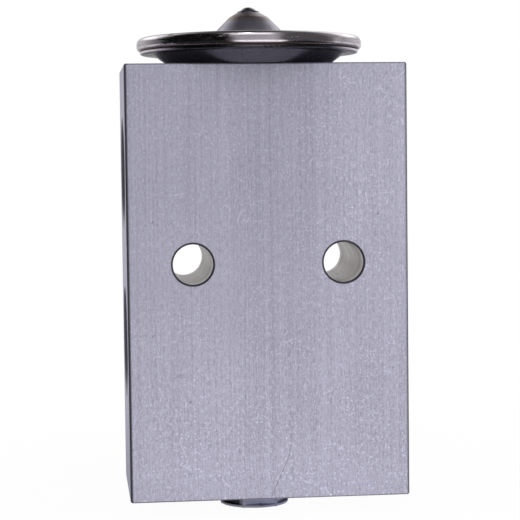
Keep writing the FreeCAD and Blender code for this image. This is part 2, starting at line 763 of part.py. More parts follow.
def make_head_cover():
    """Pressed upper shell: a thick rolled rim, a dished plate and a hollow peak for the charge plug."""
    body = new_body("head_cover")
    plate = "rim_thickness"
    peak = f"({plate} + dome_rise)"
    land = f"({peak} + land_rise)"
    hole = "plug_radius + slide_play"
    slant = "cover_wall * sqrt(2)"
    ceiling = "rim_thickness - cover_wall"
    inner_peak = f"({peak} - cover_wall / 2)"
    foot = "(dome_shoulder + dome_rise)"
    cover = turned(body, "shell", [
        ("cover_recess_radius", "0"), ("rim_radius", "0"), ("rim_radius", plate), (foot, plate),
        ("dome_shoulder", peak), ("land_radius", land), (hole, land), (hole, inner_peak),
        (f"dome_shoulder + cover_wall / 2 - {slant}", inner_peak),
        (f"{foot} + cover_wall - {slant}", ceiling),
        ("cover_recess_radius - cover_recess", ceiling)])
    rim = circle_at(cover, size("rim_radius"), size("rim_thickness"))
    rolled = rounded(body, "rolled_rim", cover, rim, "rim_round")
    under = circle_at(rolled, size("rim_radius"), 0.0)
    eased = rounded(body, "rim_edge", rolled, under, "rim_edge_round")
    dome_foot = circle_at(eased, size("dome_shoulder") + size("dome_rise"), size("rim_thickness"))
    bent = rounded(body, "dome_bend", eased, dome_foot, "dome_foot_round")
    shoulder = circle_at(bent, size("dome_shoulder"), size("rim_thickness") + size("dome_rise"))
    rounded(body, "dome_shoulder", bent, shoulder, "dome_foot_round")
    seat_at(body, "rim_level")
    return body


def make_charge_plug():
    """Welded plug that closes the charging hole: a stem with a low round head on the peak's land."""
    stem = doc.addObject("Part::Cylinder", "plug_stem")
    stem.setExpression("Radius", bound("plug_radius"))
    stem.setExpression("Height", bound("plug_depth"))
    stem.setExpression("Placement.Base.z", bound("-plug_depth"))
    ball = doc.addObject("Part::Sphere", "plug_ball")
    ball.setExpression("Radius", bound("plug_ball"))
    ball.setExpression("Placement.Base.z", bound("plug_head_height - plug_ball"))
    blank = doc.addObject("Part::Cylinder", "plug_blank")
    blank.setExpression("Radius", bound("plug_head_radius"))
    blank.setExpression("Height", bound("plug_head_height"))
    head = doc.addObject("Part::Common", "plug_head")
    head.Base = ball
    head.Tool = blank
    plug = doc.addObject("Part::Fuse", "charge_plug")
    plug.Label = "charge_plug"
    plug.Base = stem
    plug.Tool = head
    seat_at(plug, "land_level")
    return plug


def make_thrust_disc():
    """Broad disc under the diaphragm, with a hub that takes the sensing rod's top."""
    body = new_body("thrust_disc")
    socket = "rod_body_width / 2 + socket_play"
    socket_top = "(rod_socket_depth - hub_length)"
    disc = turned(body, "disc", [
        (socket, "-hub_length"), ("hub_radius", "-hub_length"), ("hub_radius", "0"),
        ("disc_radius", "0"), ("disc_radius", "disc_thickness"), ("0", "disc_thickness"),
        ("0", socket_top), (socket, socket_top)])
    rim = circle_at(disc, size("disc_radius"), size("disc_thickness"))
    rounded(body, "disc_edge", disc, rim, "disc_round")
    seat_at(body, "disc_level")
    return body


PIECES = [
    make_block(), make_adjuster_screw(), make_adjuster_seal(), make_spring(), make_ball(),
    make_carrier(), make_damper(), make_pin(), make_rod(), make_rod_seal(), make_seal_washer(),
    make_retainer(), make_head_seal(), make_head_cup(), make_diaphragm(), make_head_cover(),
    make_charge_plug(), make_thrust_disc(),
]
doc.recompute()

for thing in doc.Objects:
    if "Invalid" in thing.State or "Error" in thing.State:
        raise RuntimeError(f"{thing.Label} did not compute: {thing.State}")
for piece in PIECES:
    shape = piece.Shape
    if shape.isNull() or not shape.isValid() or len(shape.Solids) != 1:
        raise RuntimeError(f"{piece.Label} is not one valid solid")

os.makedirs("parts", exist_ok=True)
for piece in PIECES:
    piece.Shape.exportStep(os.path.join("parts", f"{piece.Label}.step"))
    print(f"{piece.Label}: {piece.Shape.Volume:.2f} mm3, {len(piece.Shape.Faces)} faces")
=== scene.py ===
import math

import bmesh
import bpy
from bpy.props import FloatProperty, FloatVectorProperty, IntProperty, PointerProperty
from mathutils import Matrix, Vector


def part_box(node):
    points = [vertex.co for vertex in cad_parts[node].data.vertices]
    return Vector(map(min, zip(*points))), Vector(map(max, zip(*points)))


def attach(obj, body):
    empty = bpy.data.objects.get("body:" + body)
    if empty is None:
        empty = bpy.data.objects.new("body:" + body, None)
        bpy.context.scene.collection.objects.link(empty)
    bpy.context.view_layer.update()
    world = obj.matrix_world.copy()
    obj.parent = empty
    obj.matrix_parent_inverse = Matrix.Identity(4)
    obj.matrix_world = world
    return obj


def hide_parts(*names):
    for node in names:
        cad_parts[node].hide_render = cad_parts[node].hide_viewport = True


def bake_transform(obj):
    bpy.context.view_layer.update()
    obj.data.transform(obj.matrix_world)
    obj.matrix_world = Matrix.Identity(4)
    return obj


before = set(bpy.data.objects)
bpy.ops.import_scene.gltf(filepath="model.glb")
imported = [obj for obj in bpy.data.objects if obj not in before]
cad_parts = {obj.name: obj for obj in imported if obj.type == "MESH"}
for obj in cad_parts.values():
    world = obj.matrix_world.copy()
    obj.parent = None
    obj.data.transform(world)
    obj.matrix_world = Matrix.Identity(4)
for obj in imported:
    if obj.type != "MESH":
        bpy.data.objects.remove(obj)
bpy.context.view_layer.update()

# Finishes, threads, welds and studio for a block-type thermostatic expansion valve.
# Metres, +Z up to the power head. The block's photographed face looks along -Y.

bl_info = {
    "name": "Expansion valve finish",
    "version": (1, 0, 0),
    "blender": (4, 5, 0),
    "location": "View3D > Sidebar > Valve",
    "description": "Gives the drilled block, the steel power head and the adjusting screw their finish",
    "category": "Object",
}

MM = 0.001
AXIS_X = sum(painted_corner_dark.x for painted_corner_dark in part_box("head_cover")) / 2
BLOCK_LOW, BLOCK_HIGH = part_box("valve_block")

# Millimetres: the block's faces, its sawn ends, the rim's lower edge and the top of the cup's lip
SIDE_FACE, FRONT_FACE = BLOCK_HIGH.x / MM, BLOCK_HIGH.y / MM
SAWN_LOW, SAWN_HIGH = BLOCK_LOW.z / MM, BLOCK_HIGH.z / MM
RIM_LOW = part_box("head_cover")[0].z / MM
LIP_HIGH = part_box("head_cup")[1].z / MM
# Millimetres: the bolt holes' distance from the middle, their height and their radius
BOLT_SIDE, BOLT_HEIGHT, BOLT_RADIUS = 12.05, 40.6, 3.2

# Metres: radius of the welded plug where it meets the peak
PLUG_RADIUS = 1.62 * MM
# Metres: where the first crest stands behind the side face, how much of the bore's end stays plain,
# and how far a ridge reaches into its wall
THREAD_START, THREAD_END, ROOT_LAP = 1.45 * MM, 1.6 * MM, 0.04 * MM
PORTS = {
    # name: side of the block, height, bore radius and length of the bore in millimetres
    "suction_in_thread": (-1, 55.15, 8.2, 10.6),
    "suction_out_thread": (1, 55.15, 8.2, 10.6),
    "liquid_out_thread": (-1, 27.4, 8.2, 10.6),
    "liquid_in_thread": (1, 17.25, 6.2, 9.6),
}


# What a user may change

class ValveSizes(bpy.types.PropertyGroup):
    thread_pitch: FloatProperty(
        name="Thread pitch", description="Distance from one thread crest to the next in the ports",
        default=1.6 * MM, min=0.5 * MM, max=3 * MM, precision=5, unit="LENGTH")
    thread_depth: FloatProperty(
        name="Thread depth", description="How far the thread stands in from a port's wall",
        default=0.62 * MM, min=0.1 * MM, max=1.5 * MM, precision=5, unit="LENGTH")
    thread_steps: IntProperty(
        name="Thread steps", description="Segments in one turn of thread", default=96, min=24, max=180)
    plug_bead: FloatProperty(
        name="Plug weld", description="Radius of the weld bead round the charge plug",
        default=0.15 * MM, min=0.05 * MM, max=0.5 * MM, precision=5, unit="LENGTH")
    rim_bead: FloatProperty(
        name="Rim weld", description="Radius of the weld bead between the two shells of the power head",
        default=0.1 * MM, min=0.03 * MM, max=0.2 * MM, precision=5, unit="LENGTH")


class ValveColours(bpy.types.PropertyGroup):
    block: FloatVectorProperty(
        name="Block", description="Drawn aluminium of the block", subtype="COLOR",
        default=(0.385, 0.375, 0.47), min=0, max=1)
    bore: FloatVectorProperty(
        name="Bores", description="Freshly drilled aluminium inside the bores", subtype="COLOR",
        default=(0.82, 0.76, 0.755), min=0, max=1)
    head: FloatVectorProperty(
        name="Power head", description="Polished steel of the rim and the dome", subtype="COLOR",
        default=(0.66, 0.61, 0.655), min=0, max=1)
    # The cup's colour is a darkened copy of the head steel: painted shade under the rim
    cup: FloatVectorProperty(
        name="Head cup", description="Dark satin steel under the rim", subtype="COLOR",
        default=(0.19, 0.183, 0.205), min=0, max=1)
    heat: FloatVectorProperty(
        name="Heat tint", description="Brown left by the welding of the charge plug", subtype="COLOR",
        default=(0.16, 0.115, 0.09), min=0, max=1)
    screw: FloatVectorProperty(
        name="Screw", description="Blue-grey plated steel of the adjusting screw", subtype="COLOR",
        default=(0.3, 0.31, 0.44), min=0, max=1)


# Node helpers

def feed(tree, socket, value):
    """Links a socket to another node's output, or sets it to a plain value."""
    if isinstance(value, bpy.types.NodeSocket):
        tree.links.new(value, socket)
    elif socket.type == "RGBA" and len(value) == 3:
        socket.default_value = (*value, 1.0)
    else:
        socket.default_value = value


def add(tree, kind, settings=None, **inputs):
    """Adds a node. Inputs go by socket name, with _ for a blank."""
    node = tree.nodes.new(kind)
    for key, value in (settings or {}).items():
        setattr(node, key, value)
    for key, value in inputs.items():
        feed(tree, node.inputs[key.replace("_", " ")], value)
    return node


def sums(tree, operation, *values, clamp=False):
    """One Math node."""
    node = add(tree, "ShaderNodeMath", {"operation": operation, "use_clamp": clamp})
    for socket, value in zip(node.inputs, values):
        feed(tree, socket, value)
    return node.outputs[0]


def plus(tree, first, second):
    return sums(tree, "ADD", first, second)


def minus(tree, first, second):
    return sums(tree, "SUBTRACT", first, second)


def times(tree, first, second):
    return sums(tree, "MULTIPLY", first, second)


def vectors(tree, operation, *values, scale=None):
    """One Vector Math node."""
    node = add(tree, "ShaderNodeVectorMath", {"operation": operation})
    for socket, value in zip(node.inputs, values):
        feed(tree, socket, value)
    if scale is not None:
        feed(tree, node.inputs["Scale"], scale)
    return node.outputs["Value" if operation in ("LENGTH", "DOT_PRODUCT") else "Vector"]


def split(tree, vector):
    return add(tree, "ShaderNodeSeparateXYZ", Vector=vector).outputs


def join(tree, x, y, z=0.0):
    return add(tree, "ShaderNodeCombineXYZ", X=x, Y=y, Z=z).outputs[0]


def fade(tree, value, low, high, to_low=0.0, to_high=1.0):
    """A soft step: to_low below low, to_high above high."""
    node = add(tree, "ShaderNodeMapRange", {"interpolation_type": "SMOOTHSTEP"},
               Value=value, From_Min=low, From_Max=high, To_Min=to_low, To_Max=to_high)
    return node.outputs[0]


def noise(tree, vector, scale, detail=3.0, roughness=0.55):
    return add(tree, "ShaderNodeTexNoise", Vector=vector, Scale=scale, Detail=detail,
               Roughness=roughness).outputs["Fac"]


def choose(tree, share, first, second):
    """A number between two, by a share."""
    node = add(tree, "ShaderNodeMix", Factor=share)
    feed(tree, node.inputs[2], first)
    feed(tree, node.inputs[3], second)
    return node.outputs[0]


def blend(tree, share, first, second, kind="MIX"):
    """A colour between two, by a share."""
    node = add(tree, "ShaderNodeMix", {"data_type": "RGBA", "blend_type": kind})
    feed(tree, node.inputs[0], share)
    feed(tree, node.inputs[6], first)
    feed(tree, node.inputs[7], second)
    return node.outputs[2]


def dim(tree, colour, level):
    """A colour made darker or lighter by a number."""
    return blend(tree, 1.0, colour, join(tree, level, level, level), "MULTIPLY")


def new_group(name, inputs, outputs):
    """A node group with named sockets. inputs and outputs are (name, kind, default)."""
    group = bpy.data.node_groups.new(name, "ShaderNodeTree")
    for socket_name, kind, default in inputs:
        socket = group.interface.new_socket(socket_name, in_out="INPUT", socket_type=kind)
        if default is not None:
            socket.default_value = default
    for socket_name, kind in outputs:
        group.interface.new_socket(socket_name, in_out="OUTPUT", socket_type=kind)
    return group, group.nodes.new("NodeGroupInput").outputs, group.nodes.new("NodeGroupOutput").inputs


def use(tree, name, **inputs):
    """Places a node group in a material and returns its outputs."""
    node = tree.nodes.new("ShaderNodeGroup")
    node.node_tree = bpy.data.node_groups[name]
    for key, value in inputs.items():
        feed(tree, node.inputs[key.replace("_", " ")], value)
    return node.outputs


NUMBER = "NodeSocketFloat"
ARROW = "NodeSocketVector"


# Effects that several finishes share

def group_place():
    """Millimetres in the valve's own frame, with x counted from the valve's axis for turned pieces."""
    group, _, result = new_group("place in millimetres", [], [
        ("Place", ARROW), ("Radius", NUMBER), ("Height", NUMBER), ("Round", ARROW)])
    place = vectors(group, "SCALE", add(group, "ShaderNodeTexCoord").outputs["Object"], scale=1 / MM)
    x, y, z = split(group, place)
    across = minus(group, x, AXIS_X / MM)
    radius = vectors(group, "LENGTH", join(group, across, y))
    feed(group, result["Place"], place)
    feed(group, result["Radius"], radius)
    feed(group, result["Height"], z)
    # Directions round the axis without a seam: the unit arrow, with the height and the radius on top
    unit = vectors(group, "NORMALIZE", join(group, across, y))
    spread = vectors(group, "SCALE", unit, scale=1.6)
    rings = join(group, 0.0, 0.0, plus(group, times(group, z, 9.0), times(group, radius, 9.0)))
    feed(group, result["Round"], vectors(group, "ADD", spread, rings))


def group_face():
    """Flat coordinates on whichever face of the block a point lies, in millimetres."""
    group, _, result = new_group("face coordinates", [], [("Flat", ARROW), ("End", NUMBER)])
    coordinates = add(group, "ShaderNodeTexCoord").outputs
    x, y, z = split(group, vectors(group, "SCALE", coordinates["Object"], scale=1 / MM))
    nx, ny, nz = split(group, vectors(group, "ABSOLUTE", coordinates["Normal"]))
    side = sums(group, "GREATER_THAN", nx, 0.7)
    end = sums(group, "GREATER_THAN", nz, 0.7)
    # The sides and the ends are counted from far off, so no face repeats another's pattern
    across = choose(group, side, x, plus(group, y, 53.0))
    along = choose(group, end, z, plus(group, y, 171.0))
    feed(group, result["Flat"], join(group, across, along))
    feed(group, result["End"], end)


def group_drawn():
    """Lines that the die leaves along a drawn bar, with short streaks and a fine mottle over them."""
    group, given, result = new_group("drawn lines", [("Fine", NUMBER, 3.0), ("Stretch", NUMBER, 0.025)], [
        ("Lines", NUMBER), ("Streaks", NUMBER), ("Mottle", NUMBER), ("Height", NUMBER)])
    flat = use(group, "face coordinates")["Flat"]
    across, along, _ = split(group, flat)

    def layer(wide, tall, detail, roughness):
        """Noise about zero, with its cells per millimetre across and along the bar."""
        place = join(group, times(group, across, wide), times(group, along, tall))
        return minus(group, noise(group, place, 1.0, detail, roughness), 0.5)

    lines = layer(given["Fine"], given["Stretch"], 3.0, 0.7)
    streaks = layer(4.4, 0.9, 2.0, 0.6)
    mottle = layer(3.4, 2.7, 2.0, 0.7)
    feed(group, result["Lines"], lines)
    feed(group, result["Streaks"], streaks)
    feed(group, result["Mottle"], mottle)
    feed(group, result["Height"], plus(group, lines, streaks))


def group_marks():
    """Scattered short scratches, one at most in each cell, turned every way."""
    group, given, result = new_group("short marks", [
        ("Cells", NUMBER, 1.0), ("Length", NUMBER, 0.5), ("Width", NUMBER, 0.08), ("Share", NUMBER, 0.4),
        ("Shift", ARROW, None)], [("Mask", NUMBER)])
    flat = vectors(group, "ADD", use(group, "face coordinates")["Flat"], given["Shift"])
    cells = add(group, "ShaderNodeTexVoronoi", {"voronoi_dimensions": "2D"}, Vector=flat,
                Scale=given["Cells"], Randomness=1.0).outputs
    local = vectors(group, "SUBTRACT", flat, cells["Position"])
    chance, reach, turn = add(group, "ShaderNodeSeparateColor", Color=cells["Color"]).outputs
    turned = add(group, "ShaderNodeVectorRotate", {"rotation_type": "Z_AXIS"}, Vector=local,
                 Angle=times(group, turn, math.pi)).outputs[0]
    x, y, _ = split(group, vectors(group, "ABSOLUTE", turned))
    half = times(group, given["Length"], plus(group, reach, 0.3))
    long_side = sums(group, "LESS_THAN", x, half)
    thin = fade(group, sums(group, "DIVIDE", y, given["Width"]), 0.3, 1.0, 1.0, 0.0)
    chosen = sums(group, "LESS_THAN", chance, given["Share"])
    feed(group, result["Mask"], times(group, times(group, long_side, thin), chosen))


def group_band():
    """A soft upright band on the block's broad faces, at a distance from its middle."""
    group, given, result = new_group("die band", [
        ("Across", NUMBER, 0.0), ("Centre", NUMBER, 0.0), ("Half", NUMBER, 0.4)], [("Mask", NUMBER)])
    away = sums(group, "ABSOLUTE", minus(group, given["Across"], given["Centre"]))
    feed(group, result["Mask"], fade(group, sums(group, "DIVIDE", away, given["Half"]), 0.2, 1.0, 1.0, 0.0))


def group_stroke():
    """One thin scratch on the front face, from one point to another in millimetres."""
    group, given, result = new_group("single scratch", [
        ("Place", ARROW, None), ("Start", ARROW, None), ("End", ARROW, None), ("Width", NUMBER, 0.08)],
        [("Mask", NUMBER)])
    flat = vectors(group, "MULTIPLY", given["Place"], (1.0, 0.0, 1.0))
    line = vectors(group, "SUBTRACT", given["End"], given["Start"])
    reach = vectors(group, "SUBTRACT", flat, given["Start"])
    share = sums(group, "DIVIDE", vectors(group, "DOT_PRODUCT", reach, line),
                 vectors(group, "DOT_PRODUCT", line, line), clamp=True)
    away = vectors(group, "LENGTH", vectors(group, "SUBTRACT", reach, vectors(group, "SCALE", line, scale=share)))
    front = sums(group, "LESS_THAN", split(group, given["Place"])[1], 0.1 - FRONT_FACE)
    mask = fade(group, sums(group, "DIVIDE", away, given["Width"]), 0.3, 1.0, 1.0, 0.0)
    feed(group, result["Mask"], times(group, mask, front))


def group_edge():
    """Mask of where the surface turns between two faces: rounded corners, broken edges, bore mouths."""
    group, _, result = new_group("turned edge", [], [("Mask", NUMBER)])
    normal = add(group, "ShaderNodeTexCoord").outputs["Normal"]
    nx, ny, nz = split(group, vectors(group, "ABSOLUTE", normal))
    most = sums(group, "MAXIMUM", nx, sums(group, "MAXIMUM", ny, nz))
    feed(group, result["Mask"], fade(group, most, 0.75, 0.97, 1.0, 0.0))


def group_turned():
    """Fine rings of a lathe or a drill, and slow haze, on a piece that is round about the valve's axis."""
    group, given, result = new_group("turned rings", [
        ("Rings", NUMBER, 1.0)], [("Tone", NUMBER), ("Haze", NUMBER)])
    place = use(group, "place in millimetres")
    rings = vectors(group, "MULTIPLY", place["Round"], join(group, 1.0, 1.0, given["Rings"]))
    feed(group, result["Tone"], noise(group, rings, 1.0, 3.0, 0.6))
    feed(group, result["Haze"], noise(group, place["Place"], 0.35, 4.0, 0.6))


def group_specks():
    """Small dots of dust, pits or bright nicks."""
    group, given, result = new_group("specks", [
        ("Cells", NUMBER, 1.5), ("Size", NUMBER, 0.12), ("Share", NUMBER, 0.3)], [("Mask", NUMBER)])
    place = use(group, "place in millimetres")["Place"]
    cells = add(group, "ShaderNodeTexVoronoi", Vector=place, Scale=given["Cells"], Randomness=1.0).outputs
    chance, reach, _ = add(group, "ShaderNodeSeparateColor", Color=cells["Color"]).outputs
    away = vectors(group, "LENGTH", vectors(group, "SUBTRACT", place, cells["Position"]))
    size = times(group, given["Size"], plus(group, reach, 0.4))
    dot = fade(group, sums(group, "DIVIDE", away, size), 0.5, 1.0, 1.0, 0.0)
    feed(group, result["Mask"], times(group, dot, sums(group, "LESS_THAN", chance, given["Share"])))


GROUPS = (group_place, group_face, group_drawn, group_marks, group_band, group_stroke, group_edge,
          group_turned, group_specks)


def new_finish(name):
    """An empty material and its shader."""
    made = bpy.data.materials.new(name)
    made.use_nodes = True
    tree = made.node_tree
    tree.nodes.clear()
    shader = tree.nodes.new("ShaderNodeBsdfPrincipled")
    tree.links.new(shader.outputs[0], tree.nodes.new("ShaderNodeOutputMaterial").inputs["Surface"])
    return made, tree, shader


def surface(tree, shader, colour, metallic, rough, height, strength, depth):
    """Joins up a shader: colour, share of metal, roughness, and a bump whose depth is in millimetres."""
    feed(tree, shader.inputs["Base Color"], colour)
    feed(tree, shader.inputs["Metallic"], metallic)
    feed(tree, shader.inputs["Roughness"], rough)
    node = add(tree, "ShaderNodeBump", Height=height, Strength=strength, Distance=depth * MM)
    tree.links.new(node.outputs["Normal"], shader.inputs["Normal"])


def dress(node, finish):
    """Puts a finish on every slot of a piece from the CAD model."""
    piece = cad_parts[node]
    for slot in piece.material_slots:
        slot.material = finish
    if not piece.material_slots:
        piece.data.materials.append(finish)


# Finishes

BANDS = (
    # centre and half width across the block, and how much lighter or darker
    (-0.38, 0.4, 0.04), (0.5, 0.5, -0.05), (2.0, 0.6, 0.025), (8.5, 0.5, 0.04), (9.7, 0.5, -0.025),
    (-1.6, 0.9, -0.025), (-12.38, 0.1, -0.09), (-4.95, 0.18, -0.05), (3.3, 0.4, -0.025), (12.2, 0.25, -0.03),
    (-7.0, 0.8, 0.018), (16.6, 0.5, -0.015),
)
# Painted light and shade: broad lighter and darker patches on the right side of the block
PAINTED_LIGHT_PATCHES = (
    # x where it starts and is full, z where it starts and is full, how much lighter or darker
    (6.0, 14.0, 30.0, 60.0, 0.08), (9.0, 15.0, 11.0, 7.0, 0.06), (9.0, 15.0, 20.0, 30.0, 0.06),
    (9.0, 15.0, -9.0, -8.0, -0.06),
)
MARKS = (
    # cells per millimetre, length, width, share of the cells, shift of the pattern, how much lighter
    (1.3, 0.2, 0.12, 0.5, (0.0, 0.0, 0.0), 0.4), (0.6, 0.45, 0.1, 0.32, (13.7, 5.1, 0.0), 0.4),
    (0.3, 0.95, 0.09, 0.3, (41.3, 27.9, 0.0), 0.48), (0.9, 0.1, 0.15, 0.24, (7.7, 91.0, 0.0), 0.65),
)
SCRATCHES = (
    # x and z of both ends, width, and how much lighter or darker
    ((3.4, 12.6), (2.9, 9.6), 0.1, -0.24), ((2.9, 9.6), (0.1, 3.3), 0.1, -0.32),
    ((3.25, 15.2), (3.4, 12.6), 0.1, -0.16), ((1.9, 17.6), (3.0, 16.2), 0.12, 0.1),
    ((3.0, 16.2), (3.25, 15.2), 0.1, 0.12), ((-7.4, 19.8), (-5.0, 10.5), 0.09, -0.09),
    ((-11.0, 17.2), (-8.2, 19.2), 0.14, 0.14), ((-10.8, 18.9), (-8.4, 18.6), 0.12, 0.09),
    ((-8.6, 18.6), (-6.6, 16.8), 0.13, 0.1), ((-17.9, 66.4), (-16.6, 64.9), 0.1, 0.08),
    ((8.6, 53.5), (10.9, 54.6), 0.1, 0.1), ((15.0, 47.2), (17.2, 46.1), 0.1, 0.08),
    ((5.2, 60.3), (7.3, 62.0), 0.1, 0.07), ((10.2, 24.6), (12.6, 23.2), 0.1, 0.12),
    ((14.3, 20.6), (13.0, 22.3), 0.1, 0.08), ((-2.5, 66.5), (-1.1, 63.9), 0.09, 0.07),
    ((-19.5, 31.8), (-17.7, 33.0), 0.1, 0.08),
)
PITS = (
    # x, z and size
    (-18.6, 29.2, 0.16), (-12.9, 18.6, 0.16), (-18.4, 47.3, 0.12), (-17.7, 46.9, 0.1),
    (17.6, 48.1, 0.12), (15.9, 59.3, 0.1), (-9.6, 61.1, 0.09), (19.9, 23.4, 0.14),
)


def drawn_light(tree, place, face, lines, worn):
    """How light the drawn metal is: the die's lines and bands and the grain, with painted light and shade: broad
    patches on the right side, a lighter lower left, a darker middle and a much lighter left side face.
    """
    x, _, z = split(tree, place)
    light = plus(tree, 0.955, times(tree, lines["Lines"], 0.5))
    grain = plus(tree, times(tree, lines["Streaks"], 0.6), times(tree, lines["Mottle"], 0.55))
    light = plus(tree, light, times(tree, grain, plus(tree, 0.9, times(tree, worn, 0.5))))
    across = split(tree, face["Flat"])[0]
    for centre, half, amount in BANDS:
        band = use(tree, "die band", Across=across, Centre=centre, Half=half)["Mask"]
        light = plus(tree, light, times(tree, band, amount))
    for x_start, x_full, z_start, z_full, amount in PAINTED_LIGHT_PATCHES:
        patch = times(tree, fade(tree, x, x_start, x_full), fade(tree, z, z_start, z_full))
        light = plus(tree, light, times(tree, patch, amount))
    # Painted light: the lower left of the block is made lighter
    painted_light_foot = times(tree, fade(tree, x, -14.0, 2.0, 1.0, 0.0), fade(tree, z, 5.0, 13.0, 1.0, 0.0))
    light = plus(tree, light, times(tree, painted_light_foot, 0.06))
    # Painted shade: the middle of the block, above its bottom, is made darker
    middle = fade(tree, sums(tree, "ABSOLUTE", minus(tree, x, 2.0)), 4.0, 9.0, 1.0, 0.0)
    light = minus(tree, light, times(tree, times(tree, middle, fade(tree, z, 8.0, 16.0)), 0.065))
    # Painted light: the left side face is made much lighter
    light = plus(tree, light, fade(tree, x, 0.1 - SIDE_FACE, 0.3 - SIDE_FACE, 0.78, 0.0))
    cloud = noise(tree, place, 0.09, 3.0, 0.6)
    return plus(tree, light, times(tree, minus(tree, cloud, 0.5), 0.14))


def scarred_light(tree, light, place, worn):
    """The light level with short marks, single scratches and pits."""
    wear = None
    for cells, length, width, share, shift, amount in MARKS:
        mark = use(tree, "short marks", Cells=cells, Length=length, Width=width, Share=share, Shift=shift)
        mark = times(tree, mark["Mask"], amount)
        wear = mark if wear is None else sums(tree, "MAXIMUM", wear, mark)
    dull_marks_and_shade = use(tree, "short marks", Cells=1.0, Length=0.18, Width=0.12, Share=0.3, Shift=(63.0, 8.8, 0.0))["Mask"]
    wear = minus(tree, wear, times(tree, dull_marks_and_shade, 0.14))
    handled = fade(tree, noise(tree, place, 0.12, 2.0, 0.5), 0.32, 0.66, 0.35, 1.0)
    handled = times(tree, handled, plus(tree, 0.68, times(tree, worn, 0.35)))
    light = plus(tree, light, times(tree, wear, handled))
    for start, end, width, amount in SCRATCHES:
        scratch = use(tree, "single scratch", Place=place, Start=(start[0], 0, start[1]),
                      End=(end[0], 0, end[1]), Width=width)["Mask"]
        light = plus(tree, light, times(tree, scratch, amount))
    for at_x, at_z, size in PITS:
        pit = use(tree, "single scratch", Place=place, Start=(at_x, 0, at_z),
                  End=(at_x + size, 0, at_z + size * 1.6), Width=size)["Mask"]
        light = minus(tree, light, times(tree, pit, 0.45))
    return light


def edged_colour(tree, colour, place, edge):
    """The block's colour with painted dark reflection on its broken edges and upright corners, and burrs over the
    lower edge.
    """
    x, y, z = split(tree, place)
    # Painted dark reflection where the surface turns: broken edges, rounded corners and bore mouths
    colour = blend(tree, times(tree, edge, 0.85), colour, (0.05, 0.048, 0.058))
    # Painted dark reflection down the upright corners, stronger on the left
    painted_corner_dark = times(tree, fade(tree, sums(tree, "ABSOLUTE", x), SIDE_FACE - 0.57, SIDE_FACE - 0.25),
                   fade(tree, sums(tree, "ABSOLUTE", y), FRONT_FACE - 0.55, FRONT_FACE - 0.25))
    painted_corner_dark = times(tree, painted_corner_dark, fade(tree, x, -1.0, 1.0, 0.92, 0.5))
    colour = blend(tree, painted_corner_dark, colour, (0.03, 0.028, 0.04))
    ragged = noise(tree, join(tree, times(tree, x, 1.3), times(tree, y, 1.3)), 1.0, 3.0, 0.65)
    height = minus(tree, z, SAWN_LOW)
    burr = times(tree, fade(tree, height, 0.2, 0.32),
                 fade(tree, minus(tree, height, times(tree, ragged, 0.5)), 0.18, 0.34, 1.0, 0.0))
    burr = times(tree, burr, fade(tree, ragged, 0.54, 0.62))
    return blend(tree, times(tree, burr, 0.75), colour, (0.75, 0.72, 0.77))


